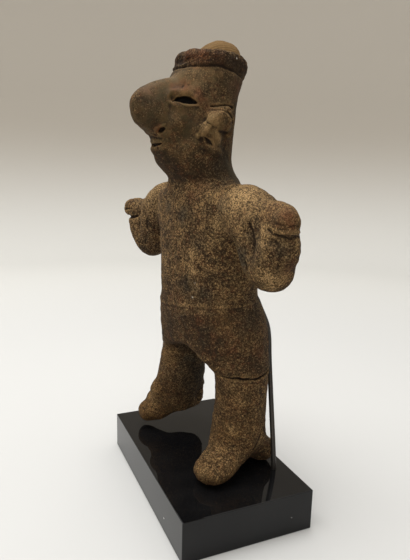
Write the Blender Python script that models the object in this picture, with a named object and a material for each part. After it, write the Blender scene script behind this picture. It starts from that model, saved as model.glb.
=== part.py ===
"""Standing fired-clay figure on a black acrylic plinth, with the steel rod that steadies it.

Blender 4.5, metres, +Z up. The figure faces -Y and its own left side is +X.
The origin is the middle of the plinth's underside.
"""

import math

import bmesh
import bpy
import numpy as np
from mathutils import Matrix, Vector
from mathutils.bvhtree import BVHTree

# Plinth: a block of black acrylic, one inch thick, with its sharp edges just broken.
PLINTH_WIDTH = 0.1415
PLINTH_DEPTH = 0.0836
PLINTH_HEIGHT = 0.0254
PLINTH_EDGE = 0.0005

# Figure: its height from soles to crown, and where it stands on the plinth.
FIGURE_HEIGHT = 0.2640
FIGURE_SHIFT_X = -0.0060
FIGURE_SHIFT_Y = 0.0040
FIGURE_TURN = math.radians(8.0)
SEAT_GAP = 0.0003

# Support rod: seated in a socket drilled in the plinth, then bent to follow the figure's back.
ROD_DIAMETER = 0.0032
ROD_CLEARANCE = 0.0003
ROD_SOCKET_DEPTH = 0.0180
ROD_BACK_GAP = 0.0006
ROD_UPRIGHT = 0.0060
ROD_BEND = 0.0070

# Where the rod stands, and then at each height how far to the figure's left it passes behind the back
# and how far it stands clear of it.
ROD_FOOT = (50.9, 20.8, 0)
ROD_STATIONS = [(31, 66, 1.3), (22.5, 82, 0.3), (11, 97, 0.0), (5, 112, 0.0)]
ROD_SIDES = 12
ROD_BEND_STEPS = 5
ROD_END_TURNS = (0.5, 1.0, 1.4)

# The figure's forms are counted in 264ths of its height, which are millimetres at the real size.
SHARE = FIGURE_HEIGHT / 264.0

RING_SIDES = 28
ROWS_BETWEEN = 5
END_TURNS = (0.35, 0.7, 1.05, 1.35)
EGG_ROWS = 12
BAND_STEPS = 48
BAND_SIDES = 12
FORM_VOXEL = 1.2
CARVING_VOXEL = 0.9
FIGURE_TRIANGLES = 8800

# Upright forms. Each row is a level ring: x, y, z of its centre, half width, half depth.
TRUNK = [
    (0, 5, 60, 45.5, 28),
    (0, 5, 62, 46.6, 30),
    (0, 5, 69, 46.8, 30.8),
    (0, 4.5, 78, 46.8, 31),
    (0, 3, 92, 44.4, 30.6),
    (0, 2, 101, 42.8, 30.2),
    (0, 0.4, 105.5, 40.6, 28.2),
    (0, -0.9, 125, 40.6, 27.6),
    (0, 0, 143, 46, 27),
    (0, -1, 158, 51, 25.5),
    (0, -3, 168, 49, 23),
    (0, -5, 174, 36, 20.8),
    (0, -5.5, 180, 25, 21),
    (0, -7.5, 186, 22, 19.5),
]
HEAD = [
    (0, -5, 180, 23.5, 19.8),
    (0, -10.2, 186, 23, 22.6),
    (0, -13.4, 192, 23, 24),
    (0, -13.5, 199, 23, 24.4),
    (0, -9.5, 206, 23.5, 20),
    (0, -7, 213, 23.6, 17.8),
    (0, -5.6, 225, 23.8, 17.2),
    (0, -4, 237, 24, 19.4),
    (0, -2.9, 244, 23.5, 20),
    (0, -1.8, 250, 22, 18.6),
]
FACE = [
    (0, -15, 202, 20, 22),
    (0, -13.5, 210, 22.5, 18.5),
    (0, -13, 218, 23.2, 18),
    (0, -13, 226, 23.2, 18),
    (0, -11, 235, 22.5, 18.2),
    (0, -7.5, 243, 21, 19),
]
CHEEKS = [
    (0, -25, 202, 15, 16),
    (0, -26, 210, 16.5, 17),
    (0, -26, 218, 15, 17),
    (0, -25, 226, 12, 15),
    (0, -22, 233, 9, 12),
]
NOSE = [
    (0, -27, 204.5, 9, 13.5),
    (0, -29.5, 208, 11.2, 18),
    (0, -32, 213, 12, 21.5),
    (0, -32.5, 219, 11.6, 22.9),
    (0, -32, 225, 9.8, 23),
    (0, -30.5, 230, 7.8, 20.2),
    (0, -28, 234, 6, 15.4),
    (0, -25, 237, 4.5, 10),
]
LEFT_LEG = [
    (30.3, 7, 72, 16, 19),
    (30.8, 7, 63, 16.8, 18.8),
    (31.2, 7, 55, 16.8, 17.2),
    (32, 6.9, 43, 16.5, 16.6),
    (32.5, 5.6, 31, 16.5, 17.1),
    (33, 5.2, 22, 16.5, 18.8),
    (34, 4.6, 15, 15, 20.6),
    (34.6, 4.4, 11.5, 11.6, 20),
]
RIGHT_LEG = [
    (-30, 0, 70, 14.5, 15),
    (-31, -0.5, 58, 16.5, 15.5),
    (-32, -0.5, 46, 16.5, 17),
    (-34, -1, 34, 16, 18.5),
    (-35, -0.5, 24, 15.5, 19),
    (-36, -0.5, 16, 14.5, 18),
]

# Forms along a path. Each row is x, y, z of the centre, half width across, half thickness.
LEFT_ARM = [
    (30, -3, 162.5, 16, 16),
    (46, -4, 162, 16, 16.4),
    (58, -4.8, 155, 16.2, 16),
    (64, -5, 139, 13, 13.2),
    (67.5, -5, 134, 10, 12.4),
    (73, -7, 134.5, 9.5, 12.2),
    (78.8, -8.5, 143, 11, 12),
    (81.5, -9.5, 152, 10.6, 11.6),
]
LEFT_FIST = [
    (58, -6, 160, 10.5, 10),
    (72, -7.5, 160.5, 10.5, 9.2),
    (83, -9, 159.5, 10.5, 8.4),
    (89, -10.5, 158.5, 8.5, 6.8),
]
RIGHT_FIST = [
    (-58, -8, 157, 9, 9.5),
    (-72, -11, 156.8, 9, 7.8),
    (-84, -13.5, 156.8, 9, 6.6),
    (-90, -15, 156.8, 7.5, 5.4),
]
LEFT_FOOT = [
    (36.5, 22.5, 6, 10.5, 9),
    (35, 11, 13.5, 11.2, 8.6),
    (37.4, -5, 12, 12.6, 9.4),
    (42, -18, 7.5, 13, 8),
    (45.5, -26.5, 6, 10.5, 6),
]
RIGHT_FOOT = [
    (-34, 2, 27, 12, 9),
    (-39, -9, 19.5, 13, 10),
    (-43.5, -17.5, 12, 12.5, 8.5),
    (-46.5, -24.5, 8.5, 10, 6.3),
]
EAR_ROLLS = [
    [(24, -16, 215.5, 3.6, 3.6), (25.8, -11, 212.5, 4.4, 4.4), (26, -6.5, 209.5, 3.4, 3.4)],
    [(21.5, -20.5, 209, 3.2, 3.2), (24, -16, 205.5, 4, 4), (25, -11, 202, 3.3, 3.3)],
    [(22.5, -17.5, 201, 2.8, 2.8), (24.4, -13.5, 198.4, 3.4, 3.4), (24.6, -9, 196, 2.8, 2.8)],
    [(23.4, -14, 219.3, 2.2, 2.2), (25, -7, 218.6, 3, 3), (24, -3, 213, 3, 3), (22.8, -3.5, 205, 2.6, 2.6)],
]

# Headband: a thick fillet round the top of the head, and the lobe of the crown behind it.
BAND_CENTRE = (0, -1.8, 248.4)
BAND_HALF_WIDTH = 20.6
BAND_HALF_DEPTH = 18.4
BAND_HALF_HEIGHT = 5.8
BAND_HALF_THICKNESS = 3.0
BAND_BACK_DROP = 2.5
CROWN_CENTRE = (-1, 3.2, 251)
CROWN_SIZE = (15.5, 13.8, 12)
LEFT_ELBOW_CENTRE = (70.5, -5.5, 134)
RIGHT_ELBOW_CENTRE = (-70, -6, 134.5)
ELBOW_SIZE = (14.5, 12.8, 12.6)
LIPS_CENTRE = (0, -32.5, 199.2)
LIPS_SIZE = (11.5, 9.2, 7.6)

# Skirt hem: it arches up between the legs, to this height over its ends.
HEM_RISE = 17.0
HEM_PEAK_X = 8.0
HEM_SPAN_LEFT = 42.0
HEM_SPAN_RIGHT = 58.0
HEM_FADE_FROM = 66.0
HEM_FADE_TO = 98.0

# Soles: the near one is level and just clear of the plinth at its heel, the far one has lost its heel and
# rises to the rear.
HEEL_LIFT = 1.6
HEEL_FROM_Y = 4.0
HEEL_TO_Y = 14.0
BROKEN_SOLE_Y = -25.0
BROKEN_SOLE_Z = 1.4
BROKEN_SOLE_SLOPE = 0.55
BROKEN_SOLE_TOP = 15.0

# Carved lines. Each has its half width, its depth (less than nothing for a raised line) and its points.
FACE_LINES = [
    (2.3, -1.5, [(1.5, -34, 222), (4.5, -33, 226.6), (10, -31, 229.4), (15, -28, 229), (19.5, -23, 225.6)]),
    (2.0, -1.2, [(2.5, -34, 220), (7, -32, 219.8), (13, -30, 221), (17.8, -25, 222.8)]),
    (2.1, 2.6, [(4.8, -33, 223.2), (11, -31, 224.6), (17, -25, 225.6)]),
    (1.9, 2.4, [(8.8, -41, 206.6), (9.8, -40, 207.6)]),
]
MOUTH_LINE = (1.5, 3.4, [(-9, -38, 199.6), (-4, -42, 199.2), (4, -42, 199.2), (9, -38, 199.6)])
FIST_LINE = (2.2, 2.6, [(67, -24, 155), (76, -25, 152.2), (84, -23, 151.6), (92, -14, 152.4)])
BAND_LINE_Z = 242.2
BAND_LINE = (1.6, 1.0)
BAND_LINE_CENTRE = (0, -2)
BAND_LINE_REACH = 60.0
REPAIR_LINE_Z = 59.0
REPAIR_LINE = (1.1, 0.9)
REPAIR_LINE_CENTRE = (31, 6)
REPAIR_LINE_REACH = 22.0


def catmull_rom(rows, between):
    """The rows of numbers as a smooth run, with this many steps from each row to the next."""
    rows = np.array(rows, float)
    padded = np.vstack([2 * rows[0] - rows[1], rows, 2 * rows[-1] - rows[-2]])
    run = []
    for a, b, c, d in zip(padded, padded[1:], padded[2:], padded[3:]):
        for step in range(between):
            t = step / between
            bend = (2 * a - 5 * b + 4 * c - d) * t**2 + (3 * b - a - 3 * c + d) * t**3
            run.append(0.5 * (2 * b + (c - a) * t + bend))
    run.append(rows[-1])
    return np.array(run)


def unit(vector):
    """The vector at length one."""
    return vector / np.linalg.norm(vector)


def mirrored(rows):
    """The same rows on the other side of the body."""
    return [(-row[0],) + tuple(row[1:]) for row in rows]


def skin(rings):
    """Vertices and faces of a closed tube through the rings, which all have the same number of points."""
    sides = len(rings[0])
    vertices = [tuple(point) for ring in rings for point in ring]
    faces = []
    for row in range(len(rings) - 1):
        for k in range(sides):
            a = row * sides + k
            b = row * sides + (k + 1) % sides
            faces.append((a, b, b + sides, a + sides))
    vertices.append(tuple(np.mean(rings[0], axis=0)))
    vertices.append(tuple(np.mean(rings[-1], axis=0)))
    low = len(vertices) - 2
    top = len(vertices) - 1
    last = (len(rings) - 1) * sides
    for k in range(sides):
        after = (k + 1) % sides
        faces.append((low, after, k))
        faces.append((top, last + k, last + after))
    return vertices, faces


def loft(rows, level, cap=0.6):
    """A closed form through the rows, with level rings or rings square to its path, and rounded ends."""
    run = catmull_rom(rows, ROWS_BETWEEN)
    angles = np.arange(RING_SIDES) * 2 * math.pi / RING_SIDES
    rings = []
    count = len(run)
    for index, (x, y, z, wide, deep) in enumerate(run):
        ahead = run[min(index + 1, count - 1)][:3] - run[max(index - 1, 0)][:3]
        along = np.array((0.0, 0.0, math.copysign(1.0, ahead[2]))) if level else unit(ahead)
        across = unit(np.cross((0.0, 1.0, 0.0) if abs(along[1]) < 0.8 else (0.0, 0.0, 1.0), along))
        if across[0] < 0:
            across = -across
        other = np.cross(along, across)
        ends = [(0.0, 1.0)]
        if index == 0:
            ends = [(-math.sin(a), math.cos(a)) for a in reversed(END_TURNS)] + ends
        if index == count - 1:
            ends = ends + [(math.sin(a), math.cos(a)) for a in END_TURNS]
        for push, size in ends:
            centre = np.array((x, y, z)) + along * push * min(wide, deep) * cap
            ring = [
                centre + across * wide * size * math.cos(a) + other * deep * size * math.sin(a) for a in angles
            ]
            rings.append(ring)
    return skin(rings)


def ellipsoid(centre, size):
    """A closed egg with its three half sizes."""
    rings = []
    for a in np.linspace(-END_TURNS[-1], END_TURNS[-1], EGG_ROWS):
        ring = []
        for b in np.arange(RING_SIDES) * 2 * math.pi / RING_SIDES:
            ring.append(
                (
                    centre[0] + size[0] * math.cos(a) * math.cos(b),
                    centre[1] + size[1] * math.cos(a) * math.sin(b),
                    centre[2] + size[2] * math.sin(a),
                )
            )
        rings.append(ring)
    return skin(rings)


def headband():
    """The headband: a flattened ring that drops towards the back of the head."""
    vertices = []
    faces = []
    for i in range(BAND_STEPS):
        turn = 2 * math.pi * i / BAND_STEPS
        out = unit(np.array((math.cos(turn) * BAND_HALF_DEPTH, math.sin(turn) * BAND_HALF_WIDTH, 0.0)))
        drop = BAND_BACK_DROP * (1 + math.sin(turn)) / 2
        middle = np.array(BAND_CENTRE) + (
            BAND_HALF_WIDTH * math.cos(turn),
            BAND_HALF_DEPTH * math.sin(turn),
            -drop,
        )
        for j in range(BAND_SIDES):
            a = 2 * math.pi * j / BAND_SIDES
            point = middle + out * BAND_HALF_THICKNESS * math.cos(a)
            point[2] += BAND_HALF_HEIGHT * math.sin(a)
            vertices.append(tuple(point))
            here = i * BAND_SIDES
            ahead = ((i + 1) % BAND_STEPS) * BAND_SIDES
            nxt = (j + 1) % BAND_SIDES
            faces.append((here + j, ahead + j, ahead + nxt, here + nxt))
    return vertices, faces


def arch_hem(vertices):
    """The trunk's vertices with its lower rim raised into the arch over the gap between the legs."""
    moved = []
    for x, y, z in vertices:
        off = x - HEM_PEAK_X
        span = HEM_SPAN_LEFT if off > 0 else HEM_SPAN_RIGHT
        arch = 0.5 * (1 + math.cos(math.pi * min(1.0, abs(off) / span)))
        fade = min(1.0, max(0.0, (HEM_FADE_TO - z) / (HEM_FADE_TO - HEM_FADE_FROM)))
        moved.append((x, y, z + HEM_RISE * arch * fade))
    return moved


def new_object(name, vertices, faces):
    """A mesh object in the scene with these vertices, in metres, and faces wound outwards."""
    mesh = bpy.data.meshes.new(name)
    mesh.from_pydata([tuple(v) for v in vertices], [], faces)
    shape = bmesh.new()
    shape.from_mesh(mesh)
    bmesh.ops.recalc_face_normals(shape, faces=shape.faces)
    shape.to_mesh(mesh)
    shape.free()
    item = bpy.data.objects.new(name, mesh)
    bpy.context.collection.objects.link(item)
    return item


def bake_modifiers(item):
    """The object's mesh replaced by what its modifiers make of it."""
    graph = bpy.context.evaluated_depsgraph_get()
    result = bpy.data.meshes.new_from_object(item.evaluated_get(graph))
    item.modifiers.clear()
    item.data = result


def remesh(item, voxel, smooths):
    """One closed skin over all the forms in the object, evened out a little."""
    grid = item.modifiers.new("One skin", "REMESH")
    grid.mode = "VOXEL"
    grid.voxel_size = voxel * SHARE
    soft = item.modifiers.new("Soft clay", "SMOOTH")
    soft.factor = 0.5
    soft.iterations = smooths
    bake_modifiers(item)


def vertex_array(mesh):
    """The mesh's vertices as rows of x, y, z."""
    flat = np.empty(len(mesh.vertices) * 3)
    mesh.vertices.foreach_get("co", flat)
    return flat.reshape(-1, 3)


def put_vertices(mesh, points):
    """Moves the mesh's vertices to these rows."""
    mesh.vertices.foreach_set("co", points.ravel())
    mesh.update()


def carve(mesh, half_width, depth, path):
    """Presses a soft-edged line into the skin along the path, which is first drawn onto the skin."""
    tree = BVHTree.FromPolygons([v.co for v in mesh.vertices], [tuple(p.vertices) for p in mesh.polygons])
    run = catmull_rom(path, 8)
    on_skin = np.array([tree.find_nearest(Vector(point * SHARE))[0] for point in run])
    points = vertex_array(mesh)
    normals = np.empty(len(points) * 3)
    mesh.vertex_normals.foreach_get("vector", normals)
    normals = normals.reshape(-1, 3)
    nearest = np.full(len(points), 1e9)
    for start, end in zip(on_skin, on_skin[1:]):
        span = end - start
        share = np.clip((points - start) @ span / max(span @ span, 1e-12), 0, 1)
        nearest = np.minimum(nearest, np.linalg.norm(points - start - share[:, None] * span, axis=1))
    fall = np.clip(1 - nearest / (half_width * SHARE), 0, 1)
    fall = fall * fall * (3 - 2 * fall)
    put_vertices(mesh, points - normals * (fall * depth * SHARE)[:, None])


def carve_ring(mesh, half_width, depth, height, centre, reach):
    """Presses a level line round the part of the skin that lies within reach of the centre."""
    points = vertex_array(mesh)
    normals = np.empty(len(points) * 3)
    mesh.vertex_normals.foreach_get("vector", normals)
    normals = normals.reshape(-1, 3)
    near = np.hypot(points[:, 0] - centre[0] * SHARE, points[:, 1] - centre[1] * SHARE) < reach * SHARE
    fall = np.clip(1 - np.abs(points[:, 2] - height * SHARE) / (half_width * SHARE), 0, 1) * near
    fall = fall * fall * (3 - 2 * fall)
    put_vertices(mesh, points - normals * (fall * depth * SHARE)[:, None])


def flatten_soles(mesh):
    """Levels the near sole, and cuts the far sole up to the rear where its heel has broken away."""
    points = vertex_array(mesh) / SHARE
    level = HEEL_LIFT * np.clip((points[:, 1] - HEEL_FROM_Y) / (HEEL_TO_Y - HEEL_FROM_Y), 0.0, 1.0)
    points[:, 2] = np.maximum(points[:, 2], level)
    broken = BROKEN_SOLE_Z + BROKEN_SOLE_SLOPE * np.maximum(0.0, points[:, 1] - BROKEN_SOLE_Y)
    broken = np.minimum(broken, BROKEN_SOLE_TOP)
    far = points[:, 0] < 0
    points[far, 2] = np.maximum(points[far, 2], broken[far])
    put_vertices(mesh, points * SHARE)


def add_forms(item_name, forms, base_mesh=None):
    """One object out of these closed forms, which may run into each other, and any mesh made before them."""
    vertices = []
    faces = []
    if base_mesh:
        vertices += [tuple(v.co) for v in base_mesh.vertices]
        faces += [tuple(p.vertices) for p in base_mesh.polygons]
    for points, polygons in forms:
        base = len(vertices)
        vertices += [tuple(c * SHARE for c in point) for point in points]
        faces += [tuple(base + k for k in polygon) for polygon in polygons]
    return new_object(item_name, vertices, faces)


def carve_figure(mesh):
    """All the carved lines of the face, fists, headband and mended leg."""
    for half_width, depth, path in FACE_LINES:
        carve(mesh, half_width, depth, path)
        carve(mesh, half_width, depth, mirrored(path))
    carve(mesh, *MOUTH_LINE)
    half_width, depth, path = FIST_LINE
    carve(mesh, half_width, depth, path)
    carve(mesh, half_width, depth, mirrored(path))
    carve_ring(mesh, *BAND_LINE, BAND_LINE_Z, BAND_LINE_CENTRE, BAND_LINE_REACH)
    carve_ring(mesh, *REPAIR_LINE, REPAIR_LINE_Z, REPAIR_LINE_CENTRE, REPAIR_LINE_REACH)


def make_figure():
    """The clay figure, standing on the plinth."""
    trunk, trunk_faces = loft(TRUNK, True, 0.1)
    body_forms = [
        (arch_hem(trunk), trunk_faces),
        loft(HEAD, True, 0.1),
        loft(FACE, True, 0.3),
        loft(CHEEKS, True, 0.3),
        loft(NOSE, True, 0.3),
        loft(LEFT_LEG, True),
        loft(RIGHT_LEG, True, 0.3),
        loft(LEFT_ARM, False),
        loft(mirrored(LEFT_ARM), False),
        loft(LEFT_FIST, False),
        loft(RIGHT_FIST, False),
        loft(LEFT_FOOT, False),
        loft(RIGHT_FOOT, False),
        ellipsoid(LEFT_ELBOW_CENTRE, ELBOW_SIZE),
        ellipsoid(RIGHT_ELBOW_CENTRE, ELBOW_SIZE),
    ]
    body = add_forms("body", body_forms)
    remesh(body, FORM_VOXEL, 10)
    added_forms = [ellipsoid(CROWN_CENTRE, CROWN_SIZE), ellipsoid(LIPS_CENTRE, LIPS_SIZE), headband()]
    for roll in EAR_ROLLS:
        added_forms.append(loft(roll, False))
        added_forms.append(loft(mirrored(roll), False))
    figure = add_forms("clay_figure", added_forms, body.data)
    bpy.data.objects.remove(body, do_unlink=True)
    remesh(figure, CARVING_VOXEL, 2)
    carve_figure(figure.data)
    flatten_soles(figure.data)
    remesh(figure, CARVING_VOXEL, 1)
    thin = figure.modifiers.new("Fewer faces", "DECIMATE")
    thin.ratio = FIGURE_TRIANGLES / (2 * len(figure.data.polygons))
    bake_modifiers(figure)
    lowest = min(v.co.z for v in figure.data.vertices)
    place = Matrix.Translation((FIGURE_SHIFT_X, FIGURE_SHIFT_Y, PLINTH_HEIGHT + SEAT_GAP - lowest))
    figure.data.transform(place @ Matrix.Rotation(FIGURE_TURN, 4, "Z"))
    return figure


def make_plinth(socket):
    """The acrylic block with its drilled socket for the rod."""
    half = Vector((PLINTH_WIDTH / 2, PLINTH_DEPTH / 2, PLINTH_HEIGHT / 2))
    corners = [(x * half.x, y * half.y, z * half.z) for x in (-1, 1) for y in (-1, 1) for z in (-1, 1)]
    sides = [(0, 1, 3, 2), (4, 6, 7, 5), (0, 4, 5, 1), (2, 3, 7, 6), (0, 2, 6, 4), (1, 5, 7, 3)]
    plinth = new_object("acrylic_plinth", corners, sides)
    edge = plinth.modifiers.new("Broken edges", "BEVEL")
    edge.width = PLINTH_EDGE
    edge.segments = 2
    bake_modifiers(plinth)
    plinth.location = (0, 0, half.z)
    drill = add_cylinder("drill", ROD_DIAMETER / 2 + ROD_CLEARANCE, 2 * ROD_SOCKET_DEPTH)
    drill.data.transform(Matrix.Translation((socket.x, socket.y, PLINTH_HEIGHT)))
    drill.hide_render = True
    cut = plinth.modifiers.new("Rod socket", "BOOLEAN")
    cut.operation = "DIFFERENCE"
    cut.object = drill
    bake_modifiers(plinth)
    bpy.data.objects.remove(drill, do_unlink=True)
    return plinth


def add_cylinder(name, radius, length, sides=32):
    """An upright cylinder about the origin."""
    rings = []
    for z in (-length / 2, length / 2):
        turns = [2 * math.pi * k / sides for k in range(sides)]
        rings.append([(radius * math.cos(t), radius * math.sin(t), z) for t in turns])
    return new_object(name, *skin(rings))


def to_plinth(point):
    """A point given in the figure's own shares, as a place over the plinth."""
    place = Matrix.Translation((FIGURE_SHIFT_X, FIGURE_SHIFT_Y, PLINTH_HEIGHT + SEAT_GAP))
    return place @ Matrix.Rotation(FIGURE_TURN, 4, "Z") @ (Vector(point) * SHARE)


def bent_path(points):
    """The points as a run of straight lengths with a smooth bend at each corner."""
    run = [points[0]]
    for before, corner, after in zip(points, points[1:], points[2:]):
        back = before - corner
        ahead = after - corner
        start = corner + back.normalized() * min(ROD_BEND, back.length * 0.45)
        end = corner + ahead.normalized() * min(ROD_BEND, ahead.length * 0.45)
        for step in range(ROD_BEND_STEPS + 1):
            t = step / ROD_BEND_STEPS
            run.append(start * (1 - t) ** 2 + corner * 2 * t * (1 - t) + end * t**2)
    return run + [points[-1]]


def make_rod(figure, socket):
    """The steel rod: upright in its socket, leaning in to the figure's back, then following the back up."""
    faces = [tuple(p.vertices) for p in figure.data.polygons]
    tree = BVHTree.FromPolygons([v.co for v in figure.data.vertices], faces)
    stand_off = ROD_DIAMETER / 2 + ROD_BACK_GAP
    path = [
        Vector((socket.x, socket.y, PLINTH_HEIGHT - ROD_SOCKET_DEPTH + ROD_CLEARANCE)),
        Vector((socket.x, socket.y, PLINTH_HEIGHT + ROD_UPRIGHT)),
    ]
    outward = Matrix.Rotation(FIGURE_TURN, 3, "Z") @ Vector((0, 1, 0))
    for x, z, clear in ROD_STATIONS:
        behind = to_plinth((x, 0, z)) + outward * FIGURE_HEIGHT
        touch, normal = tree.ray_cast(behind, -outward)[:2]
        path.append(touch + normal * (stand_off + clear * SHARE))
    run = []
    for point in bent_path(path):
        nearest, normal, _, distance = tree.find_nearest(point)
        if distance < stand_off:
            point = nearest + normal * stand_off
        run.append(np.array(point))
    rings = []
    count = len(run)
    for index, point in enumerate(run):
        along = unit(run[min(index + 1, count - 1)] - run[max(index - 1, 0)])
        across = unit(np.cross((0.0, 1.0, 0.0), along))
        other = np.cross(along, across)
        ends = [(0.0, 1.0)]
        if index == count - 1:
            ends = ends + [(math.sin(a), math.cos(a)) for a in ROD_END_TURNS]
        for push, size in ends:
            centre = point + along * push * ROD_DIAMETER / 2
            turns = [2 * math.pi * k / ROD_SIDES for k in range(ROD_SIDES)]
            rings.append(
                [centre + (across * math.cos(t) + other * math.sin(t)) * size * ROD_DIAMETER / 2 for t in turns]
            )
    return new_object("support_rod", *skin(rings))


def paint(item, name, colour, roughness, metallic):
    """Gives the object its own material."""
    material = bpy.data.materials.new(name)
    material.use_nodes = True
    shader = material.node_tree.nodes["Principled BSDF"]
    shader.inputs["Base Color"].default_value = (*colour, 1.0)
    shader.inputs["Roughness"].default_value = roughness
    shader.inputs["Metallic"].default_value = metallic
    material.diffuse_color = (*colour, 1.0)
    item.data.materials.clear()
    item.data.materials.append(material)


def clear_scene():
    """An empty scene."""
    for item in list(bpy.data.objects):
        bpy.data.objects.remove(item, do_unlink=True)


def main():
    """Builds every piece."""
    clear_scene()
    socket = to_plinth(ROD_FOOT)
    figure = make_figure()
    plinth = make_plinth(socket)
    rod = make_rod(figure, socket)
    paint(figure, "Fired clay", (0.16, 0.09, 0.05), 0.85, 0.0)
    paint(plinth, "Black acrylic", (0.01, 0.01, 0.012), 0.08, 0.0)
    paint(rod, "Blackened steel", (0.05, 0.045, 0.04), 0.35, 0.9)


main()
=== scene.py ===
"""Looks of the standing clay figure: weathered fired clay, a black acrylic plinth and a blackened steel rod.

Laid out as a Blender add-on. Run as a script, it registers its operators and calls them in order.
Lengths are in metres in the frame of the solids, unless a comment gives the figure's millimetres.
"""

import math

import bmesh
import bpy
import numpy as np
from bpy.props import FloatProperty, FloatVectorProperty, IntProperty, PointerProperty
from mathutils import Matrix, Vector
from mathutils.bvhtree import BVHTree
from mathutils.kdtree import KDTree


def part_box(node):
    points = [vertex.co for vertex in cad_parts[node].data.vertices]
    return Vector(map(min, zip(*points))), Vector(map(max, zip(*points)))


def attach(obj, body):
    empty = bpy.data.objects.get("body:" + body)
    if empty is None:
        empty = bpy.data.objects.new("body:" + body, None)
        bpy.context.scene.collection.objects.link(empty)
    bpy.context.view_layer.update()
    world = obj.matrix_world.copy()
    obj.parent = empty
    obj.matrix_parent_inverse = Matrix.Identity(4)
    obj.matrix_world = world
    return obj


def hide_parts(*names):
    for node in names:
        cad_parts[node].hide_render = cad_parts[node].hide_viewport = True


bl_info = {
    "name": "Standing Clay Figure",
    "version": (1, 0, 0),
    "blender": (4, 5, 0),
    "location": "3D View > Sidebar > Clay Figure",
    "description": "Carves and finishes a weathered clay figure on its plinth",
    "category": "Object",
}

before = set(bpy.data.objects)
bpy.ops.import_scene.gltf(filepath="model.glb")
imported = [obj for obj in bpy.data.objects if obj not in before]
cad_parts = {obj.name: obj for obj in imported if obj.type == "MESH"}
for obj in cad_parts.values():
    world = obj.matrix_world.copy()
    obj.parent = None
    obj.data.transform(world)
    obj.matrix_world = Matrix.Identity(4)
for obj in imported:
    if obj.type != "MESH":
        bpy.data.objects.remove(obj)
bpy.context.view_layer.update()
FIGURE_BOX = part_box("clay_figure")

# Where the figure's own millimetres lie in the frame: it stands turned on its plinth.
FIGURE_TURN = math.radians(8.0)
FIGURE_PLACE = (-0.006, 0.004)
MILLIMETRE = 0.001

# The camera, aimed at a point in the middle of the figure. The picture is 410 by 560 pixels.
CAMERA_TARGET = (-0.00040, -0.00083, 0.14217)
CAMERA_DISTANCE = 0.33567
CAMERA_AZIMUTH = math.radians(66.158)
CAMERA_ELEVATION = math.radians(10.950)
CAMERA_ROLL = math.radians(1.4322)
CAMERA_LENS = 33.476
CAMERA_SENSOR = 36.0

# Broad forms put right before the carving: x, y, z in the figure's millimetres, radius and how far the skin
# comes out there, or goes in where it is less than nothing.
SWELLINGS = [
    (-42, -17, 173, 15, 1.8),
    (-90, -15, 157, 9, 2.6),
    (-37.5, -18, 28, 10, 3.9),
    (-48, -27, 9, 8, 0.4),
    (47, -31, 7, 9, 1.4),
    (0, 14, 258, 11, 2.0),
    (0, -7, 261, 9, -1.5),
    (26.6, -13.4, 212.6, 7, 1.0),
    (26.4, -10.6, 199, 6.5, -1.6),
    (-21, 11, 25, 10, -2.8),
    (24, -17, 69, 8, 1.5),
    (30, -13, 66, 7, 1.8),
    (8, -23, 251, 8, 1.5),
    (15, -19, 247, 8, 0.8),
    (-4, -24, 250, 9, 1.2),
]

# Places where the solid's own lines are smoothed away before the carving: x, y, z and radius.
SOFTENED = [
    (25.5, -13, 200, 9), (-25.5, -13, 200, 9), (14, -28, 226, 8), (5, -34, 225, 6), (74, -18, 156, 10),
    (-76, -18, 156, 10), (86, -14, 152, 9), (64, -17, 140, 7),
]
SOFTENING_ROUNDS = 40

# Carved lines in the figure's millimetres. Each has its depth, its edge (1 is soft, more is crisper), how
# black it is inside, which is painted shade in the slots, creases and recesses and the dark line of the
# crack,
# and its points: x, y, z and the half width there. A depth below nothing is raised.
EYE_SLOT = (
    2.8, 1.9, 0.8,
    [
        (10.4, -33.0, 222.5, 0.9), (10.1, -30.0, 223.4, 2.0), (11.4, -27.8, 223.6, 2.4),
        (14.2, -25.8, 223.6, 2.3), (17.3, -24.6, 223.0, 1.9), (19.1, -23.2, 222.5, 0.9),
    ],
)
EYE_LOWER_LID = (
    -0.4, 1.2, 0.0,
    [(10, -33, 220.9, 0.7), (13, -28, 220.9, 0.9), (17, -25.5, 221.0, 0.9), (20, -21.8, 221.2, 0.7)],
)
NOSTRIL = (2.2, 1.0, 0.25, [(7.2, -40.2, 206.2, 1.3), (8.2, -39, 207.4, 1.8), (8.8, -37.4, 208.4, 1.3)])
NOSTRIL_WING = (
    -0.6, 1.0, 0.0, [(5.6, -42.6, 205.2, 1.2), (7.4, -42, 209.0, 1.8), (10.2, -38.6, 210.6, 1.2)],
)
NOSE_FOLD = (0.4, 0.9, 0.0, [(9.8, -37.5, 208, 2.2), (10.9, -36.5, 214, 3.0), (10.2, -35, 221, 2.2)])
MOUTH = (
    2.0, 1.4, 0.4,
    [(-6, -38, 199.6, 0.6), (-3, -41, 199.2, 1.1), (3, -41, 199.2, 1.1), (6, -38, 199.9, 0.6)],
)
LIP_NOTCH = (
    0.35, 1.0, 0.0,
    [(-6, -37, 203.0, 1.0), (-2, -42, 203.2, 1.4), (2, -42, 203.2, 1.4), (6, -37, 203.0, 1.0)],
)
EAR_SHELF = (
    1.8, 1.5, 0.35,
    [(23.2, -16, 221.0, 0.7), (24.4, -11, 221.4, 1.2), (23.6, -5, 221.6, 1.3), (22.2, 0.5, 221.6, 1.0)],
)
EAR_FLANGE = (-0.8, 1.0, 0.0, [(24.4, -14, 218.6, 1.4), (24.8, -8, 218.8, 2.0), (23.4, -2, 218.8, 1.8)])
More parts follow.
